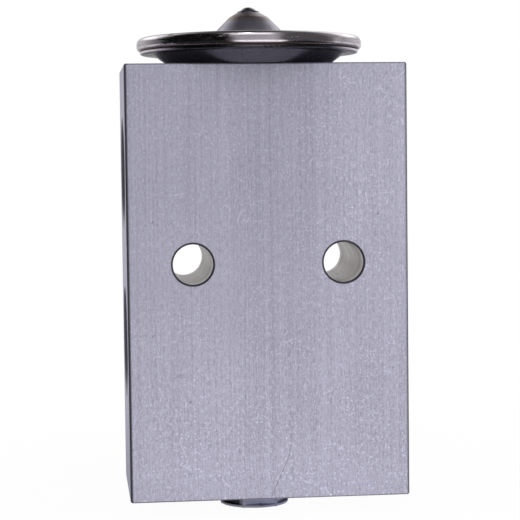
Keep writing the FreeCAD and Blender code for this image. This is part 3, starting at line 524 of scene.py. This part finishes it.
def finish_block(colours):
    """Drawn aluminium with sawn ends, and warmer drilled metal in the bolt holes and ports."""
    made, tree, shader = new_finish("drawn aluminium")
    place = use(tree, "place in millimetres")["Place"]
    x, y, z = split(tree, place)
    face = use(tree, "face coordinates")
    lines = use(tree, "drawn lines")
    edge = use(tree, "turned edge")["Mask"]
    # The lower part and the right side were handled more
    worn = sums(tree, "MAXIMUM", fade(tree, z, 12.0, 44.0, 1.0, 0.0), fade(tree, x, 2.0, 14.0, 0.0, 0.75))
    light = scarred_light(tree, drawn_light(tree, place, face, lines, worn), place, worn)
    saw = noise(tree, join(tree, times(tree, x, 3.1), times(tree, y, 0.12)), 1.0, 3.0, 0.7)
    light = plus(tree, light, times(tree, face["End"], minus(tree, times(tree, saw, 0.5), 0.2)))
    colour = edged_colour(tree, dim(tree, colours.block, light), place, edge)

    # Masks of the bolt holes, of the painted shade round their mouths and of all drilled metal
    bolts = mouths = None
    for side in (-1, 1):
        away = vectors(tree, "LENGTH", join(tree, minus(tree, x, BOLT_SIDE * side), minus(tree, z, BOLT_HEIGHT)))
        wall = fade(tree, away, BOLT_RADIUS + 0.03, BOLT_RADIUS + 0.07, 1.0, 0.0)
        mouth = fade(tree, away, BOLT_RADIUS + 0.26, BOLT_RADIUS + 0.37, 1.0, 0.0)
        bolts = wall if bolts is None else sums(tree, "MAXIMUM", bolts, wall)
        mouths = mouth if mouths is None else sums(tree, "MAXIMUM", mouths, mouth)
    ports = times(tree, sums(tree, "LESS_THAN", sums(tree, "ABSOLUTE", x), SIDE_FACE - 1.1),
                  sums(tree, "LESS_THAN", sums(tree, "ABSOLUTE", y), FRONT_FACE - 0.6))
    within = times(tree, sums(tree, "GREATER_THAN", z, SAWN_LOW + 0.7), sums(tree, "LESS_THAN", z, SAWN_HIGH - 0.3))
    drilled = sums(tree, "MAXIMUM", bolts, times(tree, ports, within))

    # Rings across the way of the drill, and painted shade on a stretch half way down the bolt holes
    bolt_rings = join(tree, times(tree, y, 0.42), times(tree, x, 0.15), times(tree, z, 0.15))
    port_rings = join(tree, times(tree, x, 3.2), times(tree, y, 0.1), times(tree, z, 0.1))
    bolt_rings, port_rings = (noise(tree, rings, 1.0, 3.0, 0.7) for rings in (bolt_rings, port_rings))
    rings = choose(tree, bolts, port_rings, bolt_rings)
    bore = blend(tree, fade(tree, rings, 0.3, 0.7), tuple(0.6 * c for c in colours.bore), colours.bore)
    depth = sums(tree, "ABSOLUTE", y)
    shade = times(tree, fade(tree, depth, 4.5, 8.0), fade(tree, depth, 9.0, 11.4, 1.0, 0.0))
    bore = blend(tree, bolts, bore, dim(tree, bore, minus(tree, 1.0, times(tree, shade, 0.3))))
    colour = blend(tree, drilled, colour, bore)
    # Painted shade: a dark ring round each bolt hole's mouth on the front face
    mouths = times(tree, mouths, fade(tree, depth, FRONT_FACE - 0.5, FRONT_FACE - 0.3))
    colour = blend(tree, times(tree, mouths, 0.95), colour, (0.025, 0.023, 0.032))

    rough = plus(tree, 0.52, times(tree, lines["Lines"], 0.2))
    rough = minus(tree, rough, times(tree, sums(tree, "MAXIMUM", edge, drilled), 0.22))
    surface(tree, shader, colour, plus(tree, 0.1, times(tree, drilled, 0.3)), rough,
            plus(tree, lines["Height"], times(tree, drilled, rings)), 0.35, 0.012)
    return made


def finish_cover(colours):
    """Polished rim, satin dome with a heat tint round the welded plug."""
    made, tree, shader = new_finish("pressed steel")
    place = use(tree, "place in millimetres")
    turned = use(tree, "turned rings", Rings=0.5)
    radius, height = place["Radius"], place["Height"]
    dome = fade(tree, radius, 6.8, 8.2, 1.0, 0.0)
    inner = fade(tree, radius, 16.2, 16.9, 1.0, 0.0)
    flat = times(tree, inner, minus(tree, 1.0, dome))

    # Polished steel, with painted shade over the top of the rim and on the flat inside it, which is also duller.
    # The dome is satin
    painted_crown_shade = fade(tree, height, 76.62, 76.88, 1.0, 0.42)
    level = plus(tree, times(tree, painted_crown_shade, minus(tree, 1.0, inner)), times(tree, inner, 0.7))
    satin = tuple(c * s for c, s in zip(colours.head, (0.35, 0.355, 0.41)))
    # Painted reflection: the lower part of the dome is made half again lighter
    painted_light_foot = fade(tree, height, 77.3, 79.0, 1.0, 0.0)
    satin = blend(tree, painted_light_foot, satin, tuple(c * 1.5 for c in satin))
    colour = blend(tree, dome, dim(tree, colours.head, level), satin)

    # Scuffs run round the rim
    ring = vectors(tree, "MULTIPLY", place["Round"], (4.5, 4.5, 0.35))
    scuff = fade(tree, noise(tree, ring, 1.0, 4.0, 0.75), 0.5, 0.68)
    scuff = times(tree, scuff, fade(tree, noise(tree, place["Place"], 0.16, 2.0, 0.5), 0.42, 0.6, 0.25, 1.0))
    colour = blend(tree, times(tree, scuff, 0.55), colour, (0.26, 0.2, 0.195))
    colour = dim(tree, colour, plus(tree, 0.88, times(tree, turned["Tone"], 0.24)))

    # Ragged band of heat colour below the plug, grime, and a brown seam at the rim's lower edge
    stain = noise(tree, place["Place"], 0.8, 3.0, 0.6)
    warped = plus(tree, height, times(tree, minus(tree, stain, 0.5), 1.1))
    heat = times(tree, fade(tree, warped, 79.3, 80.1), fade(tree, warped, 80.7, 81.2, 1.0, 0.15))
    heat = times(tree, heat, fade(tree, noise(tree, place["Place"], 0.45, 2.0, 0.5), 0.35, 0.6, 0.45, 1.0))
    colour = blend(tree, times(tree, times(tree, heat, dome), 0.85), colour, colours.heat)
    grime = use(tree, "specks", Cells=1.3, Size=0.16, Share=0.22)["Mask"]
    colour = blend(tree, times(tree, grime, 0.4), colour, (0.16, 0.12, 0.10))
    seam = fade(tree, height, RIM_LOW + 0.08, RIM_LOW + 0.42, 1.0, 0.0)
    colour = blend(tree, times(tree, seam, 0.85), colour, (0.12, 0.075, 0.05))
    rough = 0.09
    for mask, amount in ((dome, 0.22), (flat, 0.25), (turned["Haze"], 0.1), (scuff, 0.3)):
        rough = plus(tree, rough, times(tree, mask, amount))
    surface(tree, shader, colour, minus(tree, 1.0, times(tree, flat, 0.5)), rough, turned["Tone"], 0.25, 0.01)
    return made


def finish_cup(colours):
    """Dark satin underside, a darkened copy of the head steel as painted shade under the rim. Its lip is made paler
    at the sides by a painted reflection, with painted shade along its edge.
    """
    made, tree, shader = new_finish("pressed steel with painted shade")
    place = use(tree, "place in millimetres")
    turned = use(tree, "turned rings", Rings=0.8)
    # Painted shade: darker from just below the top of the lip
    edge = fade(tree, place["Height"], LIP_HIGH - 0.5, LIP_HIGH - 0.35)
    colour = blend(tree, edge, colours.cup, tuple(0.4 * c for c in colours.cup))
    # Painted reflection: paler, in the head's colour, towards the sides of the lip
    lip = times(tree, fade(tree, place["Height"], LIP_HIGH - 0.42, LIP_HIGH - 0.3),
                fade(tree, place["Radius"], 17.4, 17.7))
    sideways = sums(tree, "ABSOLUTE", minus(tree, split(tree, place["Place"])[0], AXIS_X / MM))
    lip = times(tree, lip, fade(tree, sideways, 11.0, 16.0))
    colour = blend(tree, lip, colour, tuple(1.4 * c for c in colours.head))
    colour = dim(tree, colour, plus(tree, 0.8, times(tree, turned["Tone"], 0.4)))
    marks = use(tree, "specks", Cells=0.9, Size=0.14, Share=0.3)["Mask"]
    colour = blend(tree, times(tree, marks, 0.3), colour, (0.2, 0.19, 0.2))
    rough = plus(tree, 0.2, times(tree, turned["Haze"], 0.16))
    surface(tree, shader, colour, 1.0, rough, turned["Tone"], 0.2, 0.01)
    return made


def finish_screw(colours):
    """Plated hexagon with dents, a painted highlight on the collar's left, and painted shade on the collar's right
    and on the left flat.
    """
    made, tree, shader = new_finish("plated steel")
    place = use(tree, "place in millimetres")
    x, radius = split(tree, place["Place"])[0], place["Radius"]
    turned = use(tree, "turned rings", Rings=0.7)
    edge = use(tree, "turned edge")["Mask"]
    cloud = noise(tree, place["Place"], 0.7, 4.0, 0.6)
    colour = dim(tree, colours.screw, plus(tree, 0.75, times(tree, cloud, 0.5)))
    # Painted highlight: the collar made lighter on the left
    painted_collar_highlight = times(tree, fade(tree, radius, 5.3, 5.62), fade(tree, x, -3.0, -0.5, 1.0, 0.0))
    colour = blend(tree, times(tree, painted_collar_highlight, 0.5), colour, (0.5, 0.49, 0.52))
    # Painted shade: the collar's right side made a little darker and bluer
    dull_marks_and_shade = times(tree, fade(tree, radius, 5.3, 5.5), fade(tree, x, -2.5, 0.5, 0.0, 0.12))
    colour = blend(tree, dull_marks_and_shade, colour, (0.07, 0.075, 0.12))
    # Painted shade: the left flat made nearly black in cloudy patches
    painted_flat_shade = times(tree, fade(tree, x, -4.4, -4.2, 1.0, 0.0), fade(tree, radius, 5.2, 5.35, 1.0, 0.0))
    painted_flat_shade = times(tree, painted_flat_shade, fade(tree, cloud, 0.3, 0.5, 0.75, 0.95))
    colour = blend(tree, painted_flat_shade, colour, (0.035, 0.035, 0.05))
    dent = use(tree, "specks", Cells=0.75, Size=0.42, Share=0.42)["Mask"]
    colour = blend(tree, times(tree, dent, 0.6), colour, (0.055, 0.06, 0.085))
    rough = minus(tree, plus(tree, 0.24, times(tree, turned["Haze"], 0.2)), times(tree, edge, 0.04))
    surface(tree, shader, colour, 0.9, rough, plus(tree, turned["Tone"], dent), 0.3, 0.015)
    return made


def finish_metal(name, bright, dull_marks_and_shade, roughness, rings, metallic=1.0):
    """Turned or rolled metal for the inner pieces: rings, haze and a few nicks."""
    made, tree, shader = new_finish(name)
    turned = use(tree, "turned rings", Rings=rings)
    colour = blend(tree, fade(tree, turned["Tone"], 0.3, 0.7), dull_marks_and_shade, bright)
    nick = use(tree, "specks", Cells=0.8, Size=0.13, Share=0.25)["Mask"]
    colour = blend(tree, times(tree, nick, 0.35), colour, tuple(0.3 * c for c in dull_marks_and_shade))
    rough = plus(tree, roughness, times(tree, turned["Haze"], 0.18))
    surface(tree, shader, colour, metallic, rough, turned["Tone"], 0.3, 0.01)
    return made


def finish_rubber():
    """Black rubber with a film of oil."""
    made, tree, shader = new_finish("oiled rubber")
    turned = use(tree, "turned rings", Rings=0.4)
    colour = blend(tree, turned["Haze"], (0.012, 0.012, 0.013), (0.035, 0.034, 0.036))
    rough = plus(tree, 0.32, times(tree, turned["Tone"], 0.2))
    surface(tree, shader, colour, 0.0, rough, turned["Tone"], 0.2, 0.01)
    return made


def finish_weld(name, tint):
    """Rippled weld metal with heat colours."""
    made, tree, shader = new_finish(name)
    turned = use(tree, "turned rings", Rings=0.2)
    ripple = noise(tree, use(tree, "place in millimetres")["Place"], 2.4, 3.0, 0.6)
    colour = blend(tree, fade(tree, ripple, 0.35, 0.65), tint, (0.16, 0.155, 0.19))
    blue = times(tree, fade(tree, turned["Haze"], 0.5, 0.62), 0.6)
    colour = blend(tree, blue, colour, (0.10, 0.10, 0.16))
    surface(tree, shader, colour, 1.0, plus(tree, 0.2, times(tree, ripple, 0.25)), ripple, 0.5, 0.03)
    return made


def new_piece(name, mesh, finish, body):
    """Makes an object from a bmesh. It rides on a body of the frame when one is given."""
    data = bpy.data.meshes.new(name)
    bmesh.ops.recalc_face_normals(mesh, faces=mesh.faces[:])
    mesh.to_mesh(data)
    mesh.free()
    for face in data.polygons:
        face.use_smooth = True
    data.materials.append(finish)
    piece = bpy.data.objects.new(name, data)
    bpy.context.scene.collection.objects.link(piece)
    if body:
        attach(piece, body)
    return piece


# Operators

class VALVE_OT_effects(bpy.types.Operator):
    """Builds the node groups that several finishes share"""
    bl_idname = "valve.effects"
    bl_label = "Shared effects"

    def execute(self, context):
        for build in GROUPS:
            build()
        return {"FINISHED"}


class VALVE_OT_block(bpy.types.Operator):
    """Gives the block its drawn, sawn and drilled aluminium"""
    bl_idname = "valve.block"
    bl_label = "Block"

    def execute(self, context):
        dress("valve_block", finish_block(context.scene.valve_colours))
        return {"FINISHED"}


class VALVE_OT_power_head(bpy.types.Operator):
    """Gives the power head its polished rim, satin dome, cup darkened with painted shade and glossy plug, and the
    thin sheets theirs
    """
    bl_idname = "valve.power_head"
    bl_label = "Power head"

    def execute(self, context):
        colours = context.scene.valve_colours
        dress("head_cover", finish_cover(colours))
        dress("head_cup", finish_cup(colours))
        dress("charge_plug", finish_metal("fused steel", (0.13, 0.125, 0.135), (0.07, 0.065, 0.07), 0.1, 0.3))
        sheet = finish_metal("rolled sheet steel", (0.6, 0.59, 0.57), (0.42, 0.41, 0.4), 0.22, 0.6)
        for node in ("diaphragm", "thrust_disc", "seal_washer", "seal_retainer", "damper_spring"):
            dress(node, sheet)
        return {"FINISHED"}


class VALVE_OT_inner_works(bpy.types.Operator):
    """Gives the rod, pin, ball, carrier, spring and seals their finish, and halves the spring"""
    bl_idname = "valve.inner_works"
    bl_label = "Inner works"

    def execute(self, context):
        dress("sensing_rod", finish_metal("turned aluminium", (0.78, 0.77, 0.75), (0.55, 0.54, 0.53), 0.26, 1.2))
        hard = finish_metal("hardened steel", (0.6, 0.6, 0.61), (0.5, 0.5, 0.51), 0.05, 0.3)
        dress("push_pin", hard)
        dress("valve_ball", hard)
        dress("ball_carrier", finish_metal("turned brass", (0.72, 0.52, 0.24), (0.5, 0.34, 0.15), 0.2, 1.0))
        wire = finish_metal("spring wire", (0.36, 0.35, 0.34), (0.2, 0.19, 0.19), 0.28, 0.5)
        dress("superheat_spring", wire)
        self.coil("spring_lower", False, "screw_travel", wire)
        self.coil("spring_upper", True, "lift", wire)
        rubber = finish_rubber()
        for node in ("adjuster_seal", "rod_seal", "head_seal"):
            dress(node, rubber)
        return {"FINISHED"}

    def coil(self, name, upper, mover, finish):
        """One half of the spring, cut at its middle and closed over the cut."""
        low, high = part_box("superheat_spring")
        middle = Vector((AXIS_X, 0, (low.z + high.z) / 2))
        mesh = bmesh.new()
        mesh.from_mesh(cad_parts["superheat_spring"].data)
        bmesh.ops.remove_doubles(mesh, verts=mesh.verts[:], dist=1e-7)
        bmesh.ops.bisect_plane(mesh, geom=mesh.verts[:] + mesh.edges[:] + mesh.faces[:], plane_co=middle,
                               plane_no=(0, 0, 1), clear_inner=upper, clear_outer=not upper)
        bmesh.ops.holes_fill(mesh, edges=[edge for edge in mesh.edges if edge.is_boundary], sides=0)
        piece = new_piece(name, mesh, finish, None)
        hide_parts("superheat_spring")
        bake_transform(piece)


class VALVE_OT_screw(bpy.types.Operator):
    """Gives the adjusting screw its plated steel"""
    bl_idname = "valve.screw"
    bl_label = "Adjusting screw"

    def execute(self, context):
        dress("adjuster_screw", finish_screw(context.scene.valve_colours))
        return {"FINISHED"}


class VALVE_OT_port_threads(bpy.types.Operator):
    """Cuts a thread in each of the four ports"""
    bl_idname = "valve.port_threads"
    bl_label = "Port threads"

    def execute(self, context):
        sizes = context.scene.valve_sizes
        finish = finish_metal("tapped aluminium", (0.6, 0.59, 0.58), (0.36, 0.35, 0.35), 0.22, 0.2, 0.8)
        for name, (side, height, bore, length) in PORTS.items():
            self.cut(name, side, height * MM, bore * MM, length * MM, sizes, finish)
        return {"FINISHED"}

    def cut(self, name, side, height, bore, length, sizes, finish):
        """Spins one ridge of the thread along the port, from its mouth inwards."""
        pitch, steps = sizes.thread_pitch, sizes.thread_steps
        mouth = BLOCK_HIGH.x - THREAD_START if side > 0 else BLOCK_LOW.x + THREAD_START
        root, crest = bore + ROOT_LAP, bore - sizes.thread_depth
        mesh = bmesh.new()
        corners = ((0.0, root), (pitch * 0.4, crest), (pitch * 0.52, crest), (pitch * 0.92, root))
        ring = [mesh.verts.new((mouth - side * along, 0, height + out)) for along, out in corners]
        face = mesh.faces.new(ring)
        count = round(steps * (length - THREAD_END) / pitch)
        bmesh.ops.spin(mesh, geom=[face] + face.edges[:] + face.verts[:], cent=(0, 0, height),
                       axis=(1, 0, 0), dvec=(-side * pitch / steps, 0, 0), angle=2 * math.pi * count / steps,
                       steps=count, use_merge=False)
        new_piece(name, mesh, finish, "body")


class VALVE_OT_welds(bpy.types.Operator):
    """Lays the weld beads round the charge plug and between the power head's two shells"""
    bl_idname = "valve.welds"
    bl_label = "Welds"

    def execute(self, context):
        sizes = context.scene.valve_sizes
        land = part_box("head_cover")[1].z
        self.bead("plug_weld", PLUG_RADIUS, land + 0.02 * MM, sizes.plug_bead, 0.3, 23,
                  finish_weld("plug weld metal", (0.1, 0.095, 0.11)), "plug_steel")
        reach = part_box("diaphragm")[1].x - AXIS_X
        self.bead("rim_weld", reach + 0.05 * MM, (LIP_HIGH + RIM_LOW) / 2 * MM, sizes.rim_bead, 0.12, 150,
                  finish_weld("rim weld metal", (0.15, 0.10, 0.07)), "head_steel")
        return {"FINISHED"}

    def bead(self, name, radius, height, thick, unevenness, ripples, finish, slot):
        """A round bead about the valve's axis, swollen by a share of its radius at each ripple."""
        mesh = bmesh.new()
        around = bmesh.ops.create_circle(mesh, segments=10, radius=thick,
                                         matrix=Matrix.Translation((AXIS_X + radius, 0, height))
                                         @ Matrix.Rotation(math.pi / 2, 4, "X"))["verts"]
        edges = list({edge for vertex in around for edge in vertex.link_edges})
        steps = max(96, ripples * 4)
        bmesh.ops.spin(mesh, geom=around + edges, cent=(AXIS_X, 0, height), axis=(0, 0, 1),
                       angle=2 * math.pi, steps=steps, use_merge=True)
        for vertex in mesh.verts:
            out = Vector((vertex.co.x - AXIS_X, vertex.co.y, 0))
            turn = math.atan2(out.y, out.x)
            centre = Vector((AXIS_X, 0, height)) + out.normalized() * radius
            swell = 1 + unevenness * (0.6 * math.sin(ripples * turn) + 0.4 * math.sin(5 * turn))
            vertex.co = centre + (vertex.co - centre) * swell
        new_piece(name, mesh, finish, "body")


PANELS = (
    # directions from and to in x, y and z, softness of the edge, level
    ((-0.3, 0.28), (-0.8, -0.25), (0.6, 0.97), 0.09, 1.3),
    ((-0.4, 0.45), (-0.4, 0.5), (0.85, 2.0), 0.05, 0.09),
    ((-0.1, 0.0), (-0.42, -0.28), (0.85, 2.0), 0.03, 5.0),
    ((-0.36, 0.42), (-2.0, 0.0), (-0.2, 0.75), 0.08, 0.42),
)
LAMPS = (
    # name, place and size in metres, power in watts
    ("overhead softbox", (0.03, -0.42, 0.36), (0.26, 0.34), 0.72),
    ("right fill", (0.078, -0.05, 0.045), (0.04, 0.04), 0.014),
    ("low fill", (0.0, -0.05, 0.003), (0.09, 0.004), 0.0072),
)
# Metres
FLOOR_RADIUS = 6.0
# The camera's place in metres, its turns in radians and its lens in millimetres, fitted to the photograph
CAMERA_PLACE = (-30.584 * MM, -281.493 * MM, 57.149 * MM)
CAMERA_YAW, CAMERA_PITCH, CAMERA_ROLL = 0.108, 0.059, -0.012
CAMERA_LENS, CAMERA_SENSOR = 118.25, 36.0


class VALVE_OT_stage(bpy.types.Operator):
    """Sets up the pale floor, the soft studio light and the camera"""
    bl_idname = "valve.stage"
    bl_label = "Stage"

    def execute(self, context):
        self.floor()
        self.world()
        self.lamps()
        self.camera()
        context.scene.view_settings.view_transform = "Standard"
        return {"FINISHED"}

    def floor(self):
        """White to the camera. In reflections it is lit behind and on the right, dark in front and on the left."""
        mesh = bmesh.new()
        bmesh.ops.create_circle(mesh, cap_ends=True, segments=96, radius=FLOOR_RADIUS)
        data = bpy.data.meshes.new("floor")
        mesh.to_mesh(data)
        mesh.free()
        made, tree, shader = new_finish("pale floor")
        where = add(tree, "ShaderNodeTexCoord").outputs["Object"]
        grain = noise(tree, where, 35.0, 2.0)
        feed(tree, shader.inputs["Base Color"], blend(tree, grain, (0.84, 0.84, 0.84), (0.88, 0.88, 0.88)))
        feed(tree, shader.inputs["Roughness"], 0.9)
        feed(tree, shader.inputs["Specular IOR Level"], 0.1)
        away = vectors(tree, "LENGTH", where)
        side, depth, _ = split(tree, where)
        near = times(tree, fade(tree, away, 0.024, 0.036, 1.0, 0.0), fade(tree, side, -0.02, 0.006, 0.05, 0.75))
        # A bright card in front, the lit floor behind, and a little light far to the right
        slant = sums(tree, "DIVIDE", side, minus(tree, 0.0, depth))
        card = times(tree, fade(tree, slant, -0.45, -0.25), fade(tree, slant, 0.5, 0.7, 1.0, 0.0))
        card = times(tree, card, fade(tree, depth, -0.075, -0.045, 1.0, 0.0))
        back = minus(tree, depth, fade(tree, side, -0.06, 0.0, 0.085, 0.0))
        deep = plus(tree, fade(tree, back, -0.02, 0.03, 0.02, 0.7), times(tree, card, 1.45))
        sidelong = times(tree, fade(tree, side, 0.3, 0.8), fade(tree, depth, -0.7, -0.1))
        deep = plus(tree, deep, times(tree, sidelong, 0.35))
        far = times(tree, fade(tree, away, 0.024, 0.036), deep)
        rays = add(tree, "ShaderNodeLightPath").outputs
        level = choose(tree, rays["Is Glossy Ray"], 1.0, plus(tree, near, far))
        glow = add(tree, "ShaderNodeEmission", Color=(1, 1, 1), Strength=level)
        straight = times(tree, sums(tree, "MAXIMUM", rays["Is Camera Ray"], rays["Is Transmission Ray"]),
                         fade(tree, away, 0.04, 0.12, 0.97, 1.0))
        mixed = tree.nodes.new("ShaderNodeMixShader")
        feed(tree, mixed.inputs[0], sums(tree, "MAXIMUM", straight, rays["Is Glossy Ray"]))
        tree.links.new(shader.outputs[0], mixed.inputs[1])
        tree.links.new(glow.outputs[0], mixed.inputs[2])
        output = next(node for node in tree.nodes if node.type == "OUTPUT_MATERIAL")
        tree.links.new(mixed.outputs[0], output.inputs["Surface"])
        data.materials.append(made)
        floor = bpy.data.objects.new("floor", data)
        bpy.context.scene.collection.objects.link(floor)

    def world(self):
        """White behind the valve, a dark room with softboxes for reflections, plain light for the rest."""
        world = bpy.data.worlds.new("studio")
        world.use_nodes = True
        tree = world.node_tree
        tree.nodes.clear()
        x, y, z = split(tree, add(tree, "ShaderNodeTexCoord").outputs["Generated"])

        def panel(spans, soft):
            """Mask of one lit panel, by the directions that it covers."""
            mask = 1.0
            for value, (low, high) in zip((x, y, z), spans):
                mask = times(tree, mask, fade(tree, value, low - soft, low + soft))
                mask = times(tree, mask, fade(tree, value, high - soft, high + soft, 1.0, 0.0))
            return mask

        # The backdrop starts further back on the left and higher up
        start = plus(tree, fade(tree, x, -0.3, 0.3, 0.2, -0.06), times(tree, z, 0.7))
        behind = fade(tree, minus(tree, y, start), -0.04, 0.08)
        backdrop = times(tree, behind, fade(tree, y, 0.3, 0.95, 0.15, 0.6))
        above = times(tree, fade(tree, z, 0.2, 0.45), fade(tree, y, 0.2, 0.72))
        above = times(tree, above, fade(tree, sums(tree, "ABSOLUTE", x), 0.08, 0.34))
        backdrop = plus(tree, backdrop, times(tree, above, fade(tree, x, -0.4, 0.4, 1.3, 1.4)))
        wall = times(tree, fade(tree, x, 0.5, 0.9), fade(tree, y, -0.15, 0.1))
        backdrop = plus(tree, backdrop, times(tree, wall, 0.22))
        level = plus(tree, fade(tree, x, -0.2, 0.6, 0.003, 0.09), backdrop)
        for *spans, soft, power in PANELS:
            level = plus(tree, level, times(tree, panel(spans, soft), power))
        plain = fade(tree, x, -0.8, 0.8, 0.52, 0.72)
        rays = add(tree, "ShaderNodeLightPath").outputs
        straight = sums(tree, "MAXIMUM", rays["Is Camera Ray"], rays["Is Transmission Ray"])
        level = choose(tree, rays["Is Glossy Ray"], plain, level)
        colour = blend(tree, straight, join(tree, level, level, level), (1, 1, 1))
        light = add(tree, "ShaderNodeBackground", Color=colour, Strength=1.0)
        tree.links.new(light.outputs[0], tree.nodes.new("ShaderNodeOutputWorld").inputs["Surface"])
        bpy.context.scene.world = world

    def lamps(self):
        """Area lamps that reflections don't show, aimed at the block."""
        for name, place, size, power in LAMPS:
            lamp = bpy.data.lights.new(name, "AREA")
            lamp.shape = "RECTANGLE"
            lamp.size, lamp.size_y = size
            lamp.energy = power
            holder = bpy.data.objects.new(name, lamp)
            holder.location = place
            aim = Vector((0, 0, min(place[2] * 4, 0.045))) - Vector(place)
            holder.rotation_mode = "QUATERNION"
            holder.rotation_quaternion = aim.to_track_quat("-Z", "Y")
            holder.visible_glossy = False
            bpy.context.scene.collection.objects.link(holder)

    def camera(self):
        """From a little left and above, as the photograph was taken."""
        data = bpy.data.cameras.new("camera")
        data.lens = CAMERA_LENS
        data.sensor_width = CAMERA_SENSOR
        data.clip_start = 0.01
        yaw, pitch, roll = CAMERA_YAW, CAMERA_PITCH, CAMERA_ROLL
        ahead = Vector((math.sin(yaw) * math.cos(pitch), math.cos(yaw) * math.cos(pitch), -math.sin(pitch)))
        level = Vector((math.cos(yaw), -math.sin(yaw), 0))
        upright = level.cross(ahead)
        right = math.cos(roll) * level + math.sin(roll) * upright
        top = -math.sin(roll) * level + math.cos(roll) * upright
        camera = bpy.data.objects.new("camera", data)
        turn = Matrix((right, top, -ahead)).transposed().to_4x4()
        camera.matrix_world = Matrix.Translation(CAMERA_PLACE) @ turn
        bpy.context.scene.collection.objects.link(camera)
        bpy.context.scene.camera = camera


STEPS = (VALVE_OT_effects, VALVE_OT_stage, VALVE_OT_block, VALVE_OT_power_head, VALVE_OT_inner_works,
         VALVE_OT_screw, VALVE_OT_port_threads, VALVE_OT_welds)


class VALVE_PT_panel(bpy.types.Panel):
    """Lists the sizes, the colours and the steps"""
    bl_idname = "VALVE_PT_panel"
    bl_label = "Expansion valve"
    bl_space_type = "VIEW_3D"
    bl_region_type = "UI"
    bl_category = "Valve"

    def draw(self, context):
        for group in (context.scene.valve_sizes, context.scene.valve_colours):
            box = self.layout.box()
            for name in group.__annotations__:
                box.prop(group, name)
        for step in STEPS:
            self.layout.operator(step.bl_idname)


CLASSES = (ValveSizes, ValveColours, *STEPS, VALVE_PT_panel)


def register():
    for kind in CLASSES:
        bpy.utils.register_class(kind)
    bpy.types.Scene.valve_sizes = PointerProperty(type=ValveSizes)
    bpy.types.Scene.valve_colours = PointerProperty(type=ValveColours)


def unregister():
    del bpy.types.Scene.valve_colours
    del bpy.types.Scene.valve_sizes
    for kind in reversed(CLASSES):
        bpy.utils.unregister_class(kind)


def main():
    """Runs every step in order."""
    register()
    bpy.ops.valve.effects()
    bpy.ops.valve.stage()
    bpy.ops.valve.block()
    bpy.ops.valve.power_head()
    bpy.ops.valve.inner_works()
    bpy.ops.valve.screw()
    bpy.ops.valve.port_threads()
    bpy.ops.valve.welds()


if __name__ == "__main__":
    main()
